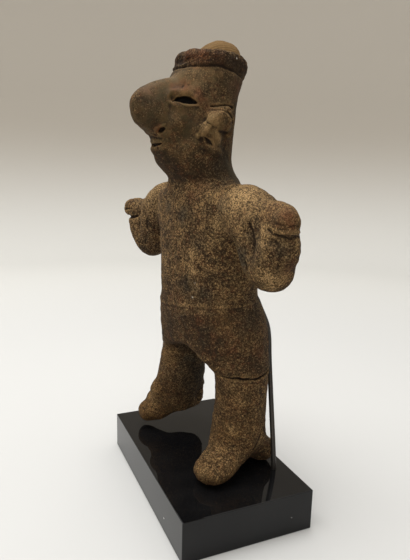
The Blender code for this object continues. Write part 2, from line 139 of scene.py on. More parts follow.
EAR_FORMS = [
    (
        -2.0, 0.9, 0.0,
        [
            (23.6, -18.4, 210.4, 3.2), (26.6, -15.6, 213.2, 4.6), (26.4, -11, 214.8, 4.2),
            (25.2, -7.4, 212.8, 3.0),
        ],
    ),
    (-1.5, 0.9, 0.0, [(20.6, -22, 204.6, 2.6), (23.6, -19.8, 206.2, 3.4), (24.4, -17.6, 209.4, 2.4)]),
    (-0.8, 0.8, 0.0, [(26, -14.4, 205.4, 2.6), (26.6, -12, 202.6, 3.2), (25.4, -9.4, 200.6, 2.6)]),
    (0.4, 0.9, 0.0, [(26.8, -12.4, 207.4, 1.2), (26.2, -9, 206.9, 2.2), (25, -6.4, 206.8, 1.8)]),
    (1.8, 1.0, 0.5, [(24.0, -20.0, 202.6, 1.0), (25.2, -18.2, 201.0, 1.9), (26.4, -16.4, 199.4, 1.2)]),
    (0.5, 1.1, 0.0, [(26.2, -8.6, 219.0, 0.8), (25.2, -5.8, 215.4, 1.1), (23.6, -3.6, 212.4, 0.9)]),
]
HAND_LINES = [
    (
        0.8, 0.9, 0.1,
        [
            (82.6, -18.2, 156.8, 0.9), (85.2, -17.5, 155.0, 1.7), (88.8, -15.4, 153.6, 2.2),
            (91.4, -11.0, 152.8, 2.2), (92.4, -7, 153.2, 1.8), (91, 0, 153.6, 1.0),
        ],
    ),
    (-1.0, 1.0, 0.0, [(87.2, -14.8, 156.4, 1.4), (91.6, -10.6, 156.2, 2.0), (92.4, -6, 155.8, 1.4)]),
    (0.5, 0.9, 0.0, [(86.6, -15.6, 160.0, 1.4), (91.0, -11.6, 159.2, 1.8), (93, -7, 159.0, 1.4)]),
    (-0.5, 0.8, 0.0, [(78, -17.6, 158, 2.0), (80.4, -19, 150, 2.4), (82.4, -19.4, 142, 2.0)]),
    (0.8, 0.8, 0.0, [(86.6, -15.6, 150.6, 3.2), (88.2, -14.6, 144, 3.0), (86.6, -14, 138, 1.8)]),
    (
        1.5, 1.0, 0.12,
        [
            (-73, -18, 152.4, 1.2), (-80, -19.4, 151.0, 1.8), (-86, -19, 150.6, 1.8),
            (-90, -14, 151.0, 1.2),
        ],
    ),
    (0.8, 1.2, 0.1, [(-80, -20, 157.4, 0.8), (-86, -20, 156.8, 1.1), (-90, -17, 156.6, 0.8)]),
]
ARM_RECESSES = [
    (
        3.0, 0.9, 0.1,
        [(54, -18.4, 150, 1.8), (57.4, -17.6, 142, 3.6), (62, -17, 134, 3.4), (64, -14, 129, 1.8)],
    ),
    (
        3.2, 1.5, 0.9,
        [
            (60.2, -17.8, 141.5, 0.8), (61.2, -17.4, 138, 3.0), (63.2, -17.2, 134.6, 3.4),
            (65.6, -15.6, 129, 2.0), (66.6, -12.6, 125, 1.0),
        ],
    ),
    (0.6, 0.9, 0.0, [(-54, -18.4, 150, 1.8), (-57.4, -17.6, 142, 3.2), (-62, -17, 134, 2.4)]),
    (1.3, 0.8, 0.0, [(66, -17, 158, 2.4), (70, -17.6, 150, 3.0), (72, -17, 143, 2.0)]),
]
BAND_GROOVE = (
    0.9, 0.9, 0.2,
    [
        (0, -25.6, 243.6, 1.2), (8, -24, 243.6, 1.3), (15.5, -19.4, 243.4, 1.4),
        (21.4, -10.4, 243.8, 1.4), (22.8, -2, 241.8, 1.3), (20.6, 7, 239.6, 1.1),
        (12, 13.6, 238.0, 1.0), (0, 16, 237.6, 0.9),
    ],
)
WAIST_STEP = (
    -0.3, 1.2, 0.0,
    [
        (-42, 2, 102.6, 1.5), (-34, -18, 101.0, 1.5), (-14, -26, 100.6, 1.6), (8, -26.4, 103.0, 1.6),
        (24, -21, 105.0, 1.6), (37, -11, 106.0, 1.5), (41, 4, 107, 1.4), (36, 18, 107.4, 1.3),
    ],
)
REPAIR_CRACK = (
    1.7, 1.7, 0.7,
    [
        (15, 3, 62.6, 0.5), (19, -6, 62.0, 0.7), (27, -11.4, 63.0, 0.4), (30, -11.6, 61.9, 0.6),
        (34, -11.4, 61.9, 0.5), (37, -10.4, 62.6, 0.6), (41, -8, 62.2, 0.8), (43.6, -4.6, 62.6, 1.1),
        (45.4, -2, 61.8, 1.0), (46.6, 1.4, 62.0, 0.5), (47.4, 5, 61.4, 0.45), (47.6, 8, 61.5, 0.9),
        (47.2, 12, 62.0, 1.1), (45.6, 15.4, 62.6, 1.0), (40, 22, 63.4, 0.9), (30, 25, 62.8, 0.7),
        (20, 20, 62.4, 0.5),
    ],
)
SKIN_NICKS = [
    (0.7, 1.2, 0.1, [(59.5, -14.8, 148, 0.8), (60.4, -16, 145, 0.9)]),
    (0.7, 1.2, 0.15, [(74.6, -18.8, 146.4, 0.8), (77.4, -19.4, 144.6, 0.8)]),
    (1.0, 1.4, 0.3, [(43.6, -17.4, 162.4, 0.7), (45.6, -17.6, 161.2, 0.7)]),
    (0.8, 1.2, 0.2, [(30, -21, 150, 0.7), (33, -20.6, 147.6, 0.8)]),
    (0.8, 0.9, 0.15, [(46.8, 12, 27, 1.2), (47.8, 9, 21, 1.6), (48.4, 6, 16, 1.4)]),
]

# Places on the skin with a finish of their own, with painted shade among the dark places: x, y, z in the
# figure's millimetres, radius and strength.
OCHRE_PLACES = [
    (54, -12, 172, 13, 1.0), (61, -10, 168, 9, 0.5), (47, -12, 172, 10, 0.5), (-47, -14, 172, 13, 0.8),
    (-40, -18, 166, 8, 0.4), (38, -19, 155, 5, 1.0), (41, -18, 150, 6, 0.5), (19.6, -24, 137, 3.6, 0.9),
    (20, -24, 127, 3.8, 0.9), (21, -24, 118, 3.4, 0.6), (32, -20, 144, 5, 0.5),
    (81, -19, 150, 4.5, 0.5), (81.4, -16, 133, 4.5, 0.9), (24.8, -17, 212, 6, 0.7),
    (21.6, -21, 205, 4, 0.6), (25.4, -12, 202, 5, 0.5), (80.2, -13, 131, 8, 1.0),
    (55, -15, 171, 7, 0.6), (40, -9, 57, 6, 0.3), (44.7, -3, 49, 5, 0.4), (43.2, -7.2, 31, 4, 0.5),
    (-9, -27, 127, 4, 0.5), (14, -21, 237, 10, 0.35), (6, -30, 238, 8, 0.25), (3, -45, 229, 7, 0.15),
    (26, -20, 104.5, 4, 0.5), (36, -12, 106, 4, 0.4), (0, -27, 103, 5, 0.3), (14, -25, 104, 5, 0.5),
    (-26, -18, 60, 8, 0.5), (-38, -20, 22, 9, 0.5), (45, 22, 172, 12, 0.4), (-40, 20, 170, 12, 0.4),
    (86, -6, 168, 7, 0.2), (13, -28, 228.6, 3.4, 0.6), (17, -25.6, 227, 2.6, 0.4),
]
RED_PLACES = [
    (15.5, -19, 249, 7, 1.0), (8, -22, 251, 6, 0.9), (21, -11, 249, 5, 0.6), (-8, -21, 249, 6, 0.6),
    (8.4, -31, 231.4, 3.6, 0.9), (12.5, -29, 232, 5, 1.0), (21, -20.6, 224, 3.4, 0.9),
    (20, -22.4, 227.4, 4, 1.0),
    (22, -18, 219.6, 3.2, 0.6), (-8.4, -31, 231, 4, 0.7), (7.2, -42, 207.8, 3.0, 1.0),
    (5, -47, 228, 5, 0.35),
    (17, -24, 170.6, 4.6, 0.8), (21, -21, 175.6, 6, 0.45), (91.6, -13, 162.4, 6.4, 1.0),
    (81, -14.6, 167, 7, 0.4),
    (88, -7, 137, 5, 0.6), (26.3, -21.7, 97, 3.6, 1.0), (42, -8.6, 81, 4.2, 0.7),
    (41, -9.6, 89, 3.6, 0.5),
    (-10, -24.5, 77, 4, 0.6), (0.6, -27, 106, 3.2, 0.9), (10.4, -26, 106.6, 3.0, 0.8),
    (22, -15, 69, 4, 0.7),
    (46.6, 9, 78, 6, 0.5), (43, -8, 45, 6, 0.35), (26.6, -9, 209, 3, 0.4), (20.6, 3, 232, 6, 0.5),
    (-20, 26, 140, 9, 0.4), (16, 28, 96, 8, 0.4), (-86, -14, 160, 6, 0.5), (34, -17, 88, 3.4, 0.6),
]
# Black mineral stains, and painted shade on the temple, under the jaw, in the recess between the near arm
# and the torso and on the inner side of the far leg.
DARK_PLACES = [
    (18, -24.4, 117, 7, 0.9), (27.6, -19.6, 112, 6, 0.8), (9.6, -26, 159, 6, 0.9),
    (-9, -26, 163, 6, 0.8),
    (24, -23, 143.4, 6, 0.5), (60, -17, 138, 9, 1.0), (58, -16, 132, 6, 1.0), (74, -19, 147, 9, 0.5),
    (70, -18, 156, 7, 0.4), (29, -19.8, 91, 5, 0.6), (28.4, -19.8, 85, 5, 0.7),
    (15, -26, 96, 6, 0.5), (-3.6, -26, 90, 8, 0.4), (43, 2, 98, 10, 0.7), (40, 14, 104, 12, 0.8),
    (88, -14, 147, 6, 0.6), (20, -8, 189, 13, 0.9), (22, 4, 182, 12, 0.7), (21, 2, 232, 10, 0.8),
    (-20, 4, 40, 20, 0.9), (5, -44, 216, 10, 0.5), (16, -22, 214, 8, 0.3), (0, 24, 130, 16, 0.4),
    (-30, 22, 90, 12, 0.4), (68, -16, 152, 5, 0.5), (21, -9, 247, 6, 0.7), (23, -2, 245, 7, 0.8),
    (0, -26, 246, 8, 0.6), (17, -16, 228, 9, 0.3), (12, -36, 214, 5, 0.4), (0, -30, 188, 9, 0.4),
    (46, 14, 70, 12, 0.4), (60, 8, 160, 12, 0.3), (-15, -4, 55, 9, 1.0), (-16, 3, 43, 11, 1.0),
    (-19, -4, 66, 8, 1.0),
    (64.6, -15.6, 133, 4, 1.0), (56, -14, 137, 5, 1.0), (43, -19.4, 166, 5, 0.5),
    (85.4, -16, 163, 3, 0.6),
    (47.8, 9, 20, 5, 0.6), (0, -31, 247, 6, 0.5), (6, -46, 223, 10, 0.45), (4, -48, 229, 8, 0.3),
]
GOLD_PLACES = [
    (-42, -22, 14, 18, 1.0), (-34, -14, 34, 14, 0.8), (42, -24, 8, 18, 0.35), (40, -8, 26, 16, 0.6),
    (-27.5, -15.6, 57.4, 9, 1.0), (-38, -12, 46, 9, 0.6), (42, -8, 46, 14, 0.45),
    (38, -12, 100, 10, 0.4),
]
SMOOTH_PLACES = [
    (0, -30, 224, 30, 1.0), (0, -8, 230, 30, 0.9), (12, -12, 240, 16, 0.9), (24, -12, 208, 15, 0.6),
    (-24, -12, 208, 15, 0.6), (10, -24, 204, 17, 0.75), (-10, -24, 204, 17, 0.75),
    (0, -14, 194, 17, 0.5), (22, 6, 188, 16, 0.8), (0, 8, 200, 24, 0.8), (88, -12, 162, 12, 0.4),
]
BROKEN_PLACES = [(-24, 14, 16, 13, 1.0), (-25, 16, 28, 11, 0.9), (-30, 17, 40, 8, 0.5)]

CHIP_PLACES = [
    (23, 0.7, 248.6, 0.9, 1.0), (60.2, -18.3, 142.4, 1.1, 0.9), (59.6, -18.2, 144.6, 0.7, 0.5),
    (15.9, -28.7, 189.1, 0.8, 0.5), (22, -23, 119, 0.8, 0.7),
    (21, -24, 110, 0.7, 0.8), (33, -14, 106, 0.7, 0.7), (12, -26, 103.4, 0.8, 0.7),
    (-47, -16, 166, 0.9, 0.6),
    (-45, -18, 160, 0.8, 0.5), (20, -22, 136, 0.6, 0.6), (40, -28, 13, 0.8, 0.5),
    (44, -16, 24, 0.7, 0.5),
]

# How much pale crust lies on the clay at each height in millimetres.
CRUST_LEVELS = [
    (0, 0.36), (30, 0.42), (60, 0.44), (75, 0.30), (100, 0.28), (112, 0.48), (140, 0.60), (172, 0.72),
    (182, 0.30), (190, 0.27), (205, 0.28), (240, 0.30), (246, 0.14), (264, 0.4),
]
CRUST_ON_TOPS = 0.30

# Weathered relief of the clay, in the figure's millimetres.
SWELL = ((11.0, 0.34), (4.6, 0.20), (2.3, 0.13))
PIT_CELL = 2.3
PIT_SHARE = 0.45
PIT_DEPTH = 0.26
BAND_TOP_Z = 253.0
BAND_FLOOR_Z = 243.0
BAND_ROUGHNESS = 0.5
CROWN_FLOOR_Z = 252.5
CROWN_STRIPE = 1.7
CROWN_STRIPE_DEPTH = 0.10
BREAK_STEP = 1.1

# Split corners of a solid this near to each other, in metres, are welded.
WELD_DISTANCE = 1e-6

# Two triangles become one quad where they differ by less than this, in radians.
QUAD_DIFFERENCE = 0.7

# How far the rod's skin goes in when its flat sides are rounded off, in metres.
ROD_ROUNDING_LOSS = 0.00007

# White flecks on the plinth's faces, in metres.
PLINTH_FLECKS = [(0.0408, -0.0418, 0.0087, 0.00070), (0.07075, 0.0276, 0.0107, 0.00024)]

# Sizes of the coarse and fine mineral crumbs, in millimetres, and how shiny and how bumpy the clay is.
COARSE_CRUMBS = 0.9
FINE_CRUMBS = 0.56
CLAY_SHINE = 0.10
CLAY_BUMP = (0.7, 0.35)
ACRYLIC_INDEX = 1.49
ACRYLIC_SHINE = 0.30
ACRYLIC_BUMP = (0.05, 0.2)
STEEL_CRUMBS = 1.1
STEEL_BUMP = (0.3, 0.05)

# Soft lights: name, place, the point that it faces, its side in metres and its power.
SOFTBOXES = [
    ("Overhead softbox", (-0.15, -0.2, 1.25), (0.0, 0.0, 0.12), 0.9, 15.0),
    ("Window softbox", (-0.7, -1.0, 0.75), (0.0, 0.0, 0.15), 0.8, 2.2),
    ("Room fill", (0.95, -0.55, 0.6), (0.0, 0.0, 0.15), 0.9, 3.0),
]
SKY_TINT = (1.0, 0.985, 0.96, 1.0)

# Steps round the sweep, steps in its bend, and its rings as shares of the flat floor.
SWEEP_TURNS = 96
SWEEP_BEND_STEPS = 12
SWEEP_RINGS = (0.25, 0.5, 0.75, 1.0)


def catmull_rom(rows, between):
    """The rows of numbers as a smooth run, with this many steps from each row to the next."""
    rows = np.array(rows, float)
    padded = np.vstack([2 * rows[0] - rows[1], rows, 2 * rows[-1] - rows[-2]])
    run = []
    for a, b, c, d in zip(padded, padded[1:], padded[2:], padded[3:]):
        for step in range(between):
            t = step / between
            bend = (2 * a - 5 * b + 4 * c - d) * t**2 + (3 * b - a - 3 * c + d) * t**3
            run.append(0.5 * (2 * b + (c - a) * t + bend))
    run.append(rows[-1])
    return np.array(run)


def scatter(cells, seed):
    """A fixed random value from 0 to 1 for each whole-numbered cell."""
    cells = cells.astype(np.uint64)
    mixed = cells[:, 0] * np.uint64(0x9E3779B97F4A7C15)
    mixed ^= cells[:, 1] * np.uint64(0xC2B2AE3D27D4EB4F)
    mixed ^= cells[:, 2] * np.uint64(0x165667B19E3779F9)
    mixed += np.uint64(seed * 7919 + 17)
    mixed ^= mixed >> np.uint64(31)
    mixed *= np.uint64(0x7FB5D329728EA185)
    mixed ^= mixed >> np.uint64(29)
    return (mixed >> np.uint64(40)).astype(float) / float(1 << 24)


def swells(points, size, seed):
    """Smooth random relief from -1 to 1 that rises and falls over this size."""
    grid = points / size + 500.0
    base = np.floor(grid)
    share = grid - base
    fade = share**3 * (share * (share * 6 - 15) + 10)
    total = np.zeros(len(points))
    for dx in (0, 1):
        for dy in (0, 1):
            for dz in (0, 1):
                corner = np.array((dx, dy, dz))
                weight = np.prod(np.where(corner, fade, 1 - fade), axis=1)
                total += weight * scatter(base + corner, seed)
    return total * 2 - 1


def pits(points, size, share, seed):
    """Small round hollows scattered in cells of this size: 1 in a hollow's middle, 0 outside them all."""
    grid = points / size + 500.0
    base = np.floor(grid)
    deepest = np.zeros(len(points))
    for dx in (-1, 0, 1):
        for dy in (-1, 0, 1):
            for dz in (-1, 0, 1):
                cell = base + np.array((dx, dy, dz))
                centre = cell + np.stack([scatter(cell, seed + k) for k in (1, 2, 3)], axis=1)
                radius = 0.22 + 0.42 * scatter(cell, seed + 4)
                apart = np.linalg.norm(grid - centre, axis=1) / radius
                hollow = np.clip(1 - apart * apart, 0, 1) * (scatter(cell, seed + 5) < share)
                deepest = np.maximum(deepest, hollow * np.minimum(1.0, radius * 2))
    return deepest


def spots(points, places):
    """How strongly each point belongs to the named places, from 0 to 1, with ragged edges."""
    ragged = 0.32 * swells(points, 3.4, 71) + 0.2 * swells(points, 1.4, 72)
    strength = np.zeros(len(points))
    for x, y, z, radius, weight in places:
        apart = np.linalg.norm(points - (x, y, z), axis=1) / radius
        strength = np.maximum(strength, weight * np.clip(1.25 - apart + ragged, 0, 1))
    return strength


class Skin:
    """The figure's skin while it is carved: a mesh in the figure's own millimetres."""

    def __init__(self, mesh):
        self.mesh = mesh
        self.slots = None
        self.read()
        self.slots = np.zeros(len(self.points))

    def read(self):
        """Takes the points, their outward directions and a search tree from the mesh."""
        count = len(self.mesh.vertices)
        self.points = np.empty(count * 3)
        self.mesh.vertices.foreach_get("co", self.points)
        self.points = self.points.reshape(-1, 3)
        self.outward = np.empty(count * 3)
        self.mesh.vertex_normals.foreach_get("vector", self.outward)
        self.outward = self.outward.reshape(-1, 3)
        faces = [tuple(p.vertices) for p in self.mesh.polygons]
        self.tree = BVHTree.FromPolygons([Vector(p) for p in self.points], faces)
        count = len(self.mesh.edges)
        self.edges = np.empty(count * 2, np.int64)
        self.mesh.edges.foreach_get("vertices", self.edges)
        self.edges = self.edges.reshape(-1, 2)

    def write(self):
        """Moves the mesh to the carved points and measures it again."""
        self.mesh.vertices.foreach_set("co", self.points.ravel())
        self.mesh.update()
        self.read()

    def press(self, depth):
        """Moves the points inwards by this depth, which may differ from point to point."""
        self.points = self.points - self.outward * np.reshape(depth, (-1, 1))

    def carve(self, line, side=1):
        """Presses a line into the skin, or raises it, on one side of the body."""
        depth, edge, black, rows = line
        run = catmull_rom([(side * x, y, z, half) for x, y, z, half in rows], 6)
        spine = np.array([self.tree.find_nearest(Vector(row[:3]))[0] for row in run])
        reach = run[:, 3].max()
        low = spine.min(axis=0) - reach
        high = spine.max(axis=0) + reach
        near = np.flatnonzero(np.all((self.points > low) & (self.points < high), axis=1))
        points = self.points[near]
        fall = np.zeros(len(near))
        for start, end, wide, wide_after in zip(spine, spine[1:], run[:, 3], run[1:, 3]):
            span = end - start
            along = np.clip((points - start) @ span / max(span @ span, 1e-12), 0, 1)
            half = wide + (wide_after - wide) * along
            apart = np.linalg.norm(points - start - along[:, None] * span, axis=1) / half
            fall = np.maximum(fall, np.clip(1 - apart, 0, 1))
        fall = np.clip(fall * edge, 0, 1)
        fall = fall * fall * (3 - 2 * fall)
        self.points[near] -= self.outward[near] * (fall * depth)[:, None]
        # The darkness inside the line is kept for the material: painted shade in slots, creases and
        # recesses, and the crack's dark line.
        self.slots[near] = np.maximum(self.slots[near], fall * black)

    def soften(self, places):
        """Smooths away what lies round each place."""
        weight = np.zeros(len(self.points))
        for x, y, z, radius in places:
            apart = np.linalg.norm(self.points - (x, y, z), axis=1) / radius
            weight = np.maximum(weight, np.clip(1.6 - 1.6 * apart, 0, 1))
        for _ in range(SOFTENING_ROUNDS):
            smoother = even_out(self.points, self.edges, 1)
            self.points += (smoother - self.points) * weight[:, None]

    def swell(self, place):
        """Brings the skin out or in round a place."""
        x, y, z, radius, height = place
        apart = np.linalg.norm(self.points - (x, y, z), axis=1) / radius
        rise = np.clip(1 - apart * apart, 0, 1) ** 2
        self.points += self.outward * (rise * height)[:, None]


def even_out(values, edges, rounds):
    """Each vertex's value averaged with its neighbours' this many times."""
    a, b = edges[:, 0], edges[:, 1]
    count = len(values)
    joins = np.bincount(a, minlength=count) + np.bincount(b, minlength=count)
    joins = np.maximum(joins, 1)[:, None]
    for _ in range(rounds):
        total = np.empty_like(values)
        for k in range(values.shape[1]):
            total[:, k] = np.bincount(a, values[b, k], count) + np.bincount(b, values[a, k], count)
        values = 0.5 * values + 0.5 * total / joins
    return values


def new_object(name, mesh):
    """The mesh as an object in the scene."""
    item = bpy.data.objects.new(name, mesh)
    bpy.context.scene.collection.objects.link(item)
    return item


def apply_modifiers(item):
    """The object's mesh replaced by what its modifiers make of it."""
    graph = bpy.context.evaluated_depsgraph_get()
    result = bpy.data.meshes.new_from_object(item.evaluated_get(graph))
    item.modifiers.clear()
    old = item.data
    item.data = result
    bpy.data.meshes.remove(old)


def copy_of_node(node, name):
    """A new object with the node's mesh, its split corners welded together again."""
    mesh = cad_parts[node].data.copy()
    mesh.materials.clear()
    shape = bmesh.new()
    shape.from_mesh(mesh)
    bmesh.ops.remove_doubles(shape, verts=shape.verts, dist=WELD_DISTANCE)
    shape.to_mesh(mesh)
    shape.free()
    for layer in list(mesh.uv_layers):
        mesh.uv_layers.remove(layer)
    return new_object(name, mesh)


def join_triangles(mesh):
    """Pairs of triangles in the mesh made into quads again."""
    shape = bmesh.new()
    shape.from_mesh(mesh)
    bmesh.ops.join_triangles(
        shape,
        faces=shape.faces,
        angle_face_threshold=QUAD_DIFFERENCE,
        angle_shape_threshold=QUAD_DIFFERENCE,
    )
    shape.to_mesh(mesh)
    shape.free()


def to_frame():
    """The matrix that takes the figure's millimetres to the frame."""
    place = Matrix.Translation((*FIGURE_PLACE, FIGURE_BOX[0].z))
    return place @ Matrix.Rotation(FIGURE_TURN, 4, "Z") @ Matrix.Scale(MILLIMETRE, 4)


def carve_details(skin):
    """The face, ears, hands, waist and mended leg, cut as crisply as the clay shows them."""
    skin.soften(SOFTENED)
    skin.write()
    for place in SWELLINGS:
        skin.swell(place)
    skin.write()
    for side in (1, -1):
        for line in (NOSE_FOLD, EAR_FLANGE, BAND_GROOVE, *EAR_FORMS[:3]):
            skin.carve(line, side)
    skin.write()
    for side in (1, -1):
        for line in (EYE_LOWER_LID, EYE_SLOT, NOSTRIL_WING, NOSTRIL, EAR_SHELF, *EAR_FORMS[3:]):
            skin.carve(line, side)
    for line in (MOUTH, LIP_NOTCH, WAIST_STEP, *ARM_RECESSES):
        skin.carve(line)
    skin.write()
    for line in (REPAIR_CRACK, *HAND_LINES, *SKIN_NICKS):
        skin.carve(line)
    skin.write()


def weather(skin):
    """The grain, pits, torn headband, striped crown and broken heel of the old clay."""
    points = skin.points.copy()
    smooth = spots(points, SMOOTH_PLACES) * np.clip((BAND_FLOOR_Z + 1 - points[:, 2]) / 2, 0, 1)
    depth = np.zeros(len(points))
    for index, (size, height) in enumerate(SWELL):
        depth += height * swells(points, size, 11 + index) * (1 - 0.5 * smooth)
    depth += PIT_DEPTH * pits(points, PIT_CELL, PIT_SHARE, 31) * (1 - 0.9 * smooth)
    height = points[:, 2]
    lobe = np.clip((height - CROWN_FLOOR_Z) / 2.0, 0, 1) * np.clip((points[:, 1] + 12) / 4.0, 0, 1)
    drop = np.clip(0.3 * (points[:, 1] + 10), 0, 8)
    band = np.clip((height - BAND_FLOOR_Z + drop) / 1.5, 0, 1) * np.clip(
        (BAND_TOP_Z - height) / 2, 0, 1,
    )
    band *= 1 - lobe
    torn = np.abs(swells(points * (1, 1, 0.6), 2.6, 51)) + 0.6 * swells(points, 1.6, 52) - 0.5
    depth = depth * (1 - 0.75 * lobe) + BAND_ROUGHNESS * torn * band
    sweep = np.hypot(points[:, 0] - 14, points[:, 2] - 246) + 0.8 * swells(points, 6.0, 53)
    depth += CROWN_STRIPE_DEPTH * np.sin(sweep * 2 * math.pi / CROWN_STRIPE) * lobe
    broken = spots(points, BROKEN_PLACES)
    facets = np.floor(swells(points, 5.2, 61) * 3) / 3 + np.floor(swells(points, 2.6, 62) * 2) / 4
    depth += BREAK_STEP * (facets + 0.7) * broken
    sole = np.clip(height / 1.5, 0.0, 1.0)
    skin.press(depth * sole)
    skin.points[:, 2] = np.maximum(skin.points[:, 2], 0.0)
    skin.write()
    return lobe, band, smooth


def finish_masks(skin, crown, band, smooth):
    """Where each finish of the clay and its painted shade shows, one value per point for each."""
    fine = even_out(skin.points, skin.edges, 3)
    broad = even_out(fine, skin.edges, 40)
    small = np.einsum("ij,ij->i", fine - skin.points, skin.outward)
    large = np.einsum("ij,ij->i", broad - skin.points, skin.outward)
    points = skin.points
    levels = np.array(CRUST_LEVELS)
    crust = np.interp(points[:, 2], levels[:, 0], levels[:, 1])
    crust += CRUST_ON_TOPS * np.clip(skin.outward[:, 2], -0.6, 1.0)
    ochre = spots(points, OCHRE_PLACES)
    return {
        "crust": np.clip(crust + 0.25 * ochre - 0.3 * np.clip(large, 0, 1), 0, 1),
        "ochre": ochre,
        "red_slip": spots(points, RED_PLACES),
        "dark_stain_and_shade": spots(points, DARK_PLACES),
        "gold_grain": spots(points, GOLD_PLACES),
        "smooth": smooth,
        "crown": crown,
        "band": band,
        # hollow and deep measure how far each point lies in a small and in a broad hollow; the material
        # paints shade there.
        "hollow": np.clip(0.5 + small * 5.0, 0, 1),
        "deep": np.clip(large * 1.1, 0, 1),
        # Painted shade inside the carved slots, creases and recesses, and the dark line of the crack.
        "carved_line_shade": skin.slots,
        "chip": spots(points, CHIP_PLACES),
    }


def store_masks(mesh, source_points, masks):
    """Writes the masks to the mesh as named values, each point taking those of the nearest carved point."""
    tree = KDTree(len(source_points))
    for index, point in enumerate(source_points):
        tree.insert(point, index)
    tree.balance()
    nearest = np.array([tree.find(v.co)[1] for v in mesh.vertices])
    for name, values in masks.items():
        layer = mesh.attributes.new(name, "FLOAT", "POINT")
        layer.data.foreach_set("value", values[nearest].astype(np.float32))


def smooth_shaded(mesh):
    """The mesh shaded as one soft surface."""
    mesh.polygons.foreach_set("use_smooth", [True] * len(mesh.polygons))
    mesh.update()


def put(tree, value, socket):
    """Links the value to the socket, or sets it there."""
    if isinstance(value, bpy.types.NodeSocket):
        tree.links.new(value, socket)
    else:
        socket.default_value = value


def add_node(tree, kind, values=None, **settings):
    """A node of this kind with its settings and its inputs' values or links, laid out in rows."""
    node = tree.nodes.new(kind)
    count = len(tree.nodes)
    node.location = (220 * (count % 9), -260 * (count // 9))
    for key, value in settings.items():
        setattr(node, key, value)
    for key, value in (values or {}).items():
        put(tree, value, node.inputs[key])
    return node


def arithmetic(tree, operation, first, second=0.0):
    """The result of one sum on two values."""
    node = add_node(tree, "ShaderNodeMath", operation=operation)
    put(tree, first, node.inputs[0])
    put(tree, second, node.inputs[1])
    return node.outputs[0]


def share_of(tree, value, share):
    """The value at this share of its strength."""
    return arithmetic(tree, "MULTIPLY", value, share)


def spread(tree, value, low, high, new_low=0.0, new_high=1.0):
    """The value eased from one range to another, and held inside it."""
    inputs = {"Value": value, "From Min": low, "From Max": high, "To Min": new_low, "To Max": new_high}
    node = add_node(tree, "ShaderNodeMapRange", inputs, interpolation_type="SMOOTHSTEP")
    return node.outputs["Result"]


def coat(tree, mask, under, over, mode="MIX"):
    """One colour laid over another where the mask says."""
    node = add_node(tree, "ShaderNodeMix", data_type="RGBA", blend_type=mode)
    put(tree, mask, node.inputs[0])
    put(tree, under, node.inputs[6])
    put(tree, over, node.inputs[7])
    return node.outputs[2]


def blotches(tree, vector, scale, detail=3.0, roughness=0.6, warp=0.0):
    """Soft cloudy noise."""
    inputs = {
        "Vector": vector, "Scale": scale, "Detail": detail, "Roughness": roughness, "Distortion": warp,
    }
    return add_node(tree, "ShaderNodeTexNoise", inputs).outputs["Fac"]


def finish_mask(tree, name):
    """The named value kept on the mesh."""
    return add_node(tree, "ShaderNodeAttribute", attribute_name=name).outputs["Fac"]


def new_group(name, inputs, outputs):
    """An empty shader node group with these named sockets."""
    group = bpy.data.node_groups.new(name, "ShaderNodeTree")
    for label, kind, default in inputs:
        socket = group.interface.new_socket(label, in_out="INPUT", socket_type=kind)
        if default is not None:
            socket.default_value = default
    for label, kind in outputs:
        group.interface.new_socket(label, in_out="OUTPUT", socket_type=kind)
    return group, group.nodes.new("NodeGroupInput").outputs, group.nodes.new("NodeGroupOutput").inputs


def grain_group():
    """Mineral grain: pale crumbs parted by dark gaps, over as much of the surface as Coverage says."""
    inputs = [
        ("Vector", "NodeSocketVector", None),
        ("Crumb Size", "NodeSocketFloat", 1.0),
        ("Coverage", "NodeSocketFloat", 0.5),
    ]
    outputs = [("Mask", "NodeSocketFloat"), ("Gaps", "NodeSocketFloat"), ("Height", "NodeSocketFloat")]
    group, given, result = new_group("Mineral Grain", inputs, outputs)
    scale = arithmetic(group, "DIVIDE", 1.0, given["Crumb Size"])
    wobble = add_node(
        group, "ShaderNodeTexNoise", {"Vector": given["Vector"], "Scale": scale, "Detail": 1.0},
    )
    shift = add_node(group, "ShaderNodeVectorMath", operation="MULTIPLY_ADD")
    put(group, wobble.outputs["Color"], shift.inputs[0])
    shift.inputs[1].default_value = (1.6, 1.6, 1.6)
    put(group, given["Vector"], shift.inputs[2])
    cells = add_node(
        group, "ShaderNodeTexVoronoi", {"Vector": shift.outputs[0], "Scale": scale}, feature="F1",
    )
    body = spread(group, cells.outputs["Distance"], 0.34, 0.66, 1.0, 0.0)
    worms = blotches(group, given["Vector"], share_of(group, scale, 0.85), 2.0, 0.6, 0.5)
    ridge = arithmetic(group, "ABSOLUTE", arithmetic(group, "SUBTRACT", worms, 0.5))
    body = share_of(group, body, spread(group, ridge, 0.01, 0.06, 0.25, 1.0))
    pick = add_node(group, "ShaderNodeSeparateColor", {"Color": cells.outputs["Color"]}).outputs[0]
    margin = arithmetic(group, "SUBTRACT", given["Coverage"], pick)
    chosen = spread(group, margin, -0.12, 0.22)
    put(group, share_of(group, body, chosen), result["Mask"])
    put(group, arithmetic(group, "SUBTRACT", 1.0, body), result["Gaps"])
    rise = share_of(group, body, arithmetic(group, "ADD", chosen, 0.4))
    put(group, rise, result["Height"])
    return group


def dust_group():
    """Dust and fine scratches that settle on a smooth surface, as a mask."""
    inputs = [("Vector", "NodeSocketVector", None), ("Amount", "NodeSocketFloat", 0.5)]
    group, given, result = new_group("Settled Dust", inputs, [("Mask", "NodeSocketFloat")])
    cloud = spread(group, blotches(group, given["Vector"], 0.03, 4.0, 0.6), 0.42, 0.72)
    fine = spread(group, blotches(group, given["Vector"], 1.6, 2.0, 0.5), 0.55, 0.75)
    both = arithmetic(group, "ADD", share_of(group, cloud, 0.6), share_of(group, fine, 0.4))
    put(group, share_of(group, both, given["Amount"]), result["Mask"])
    return group


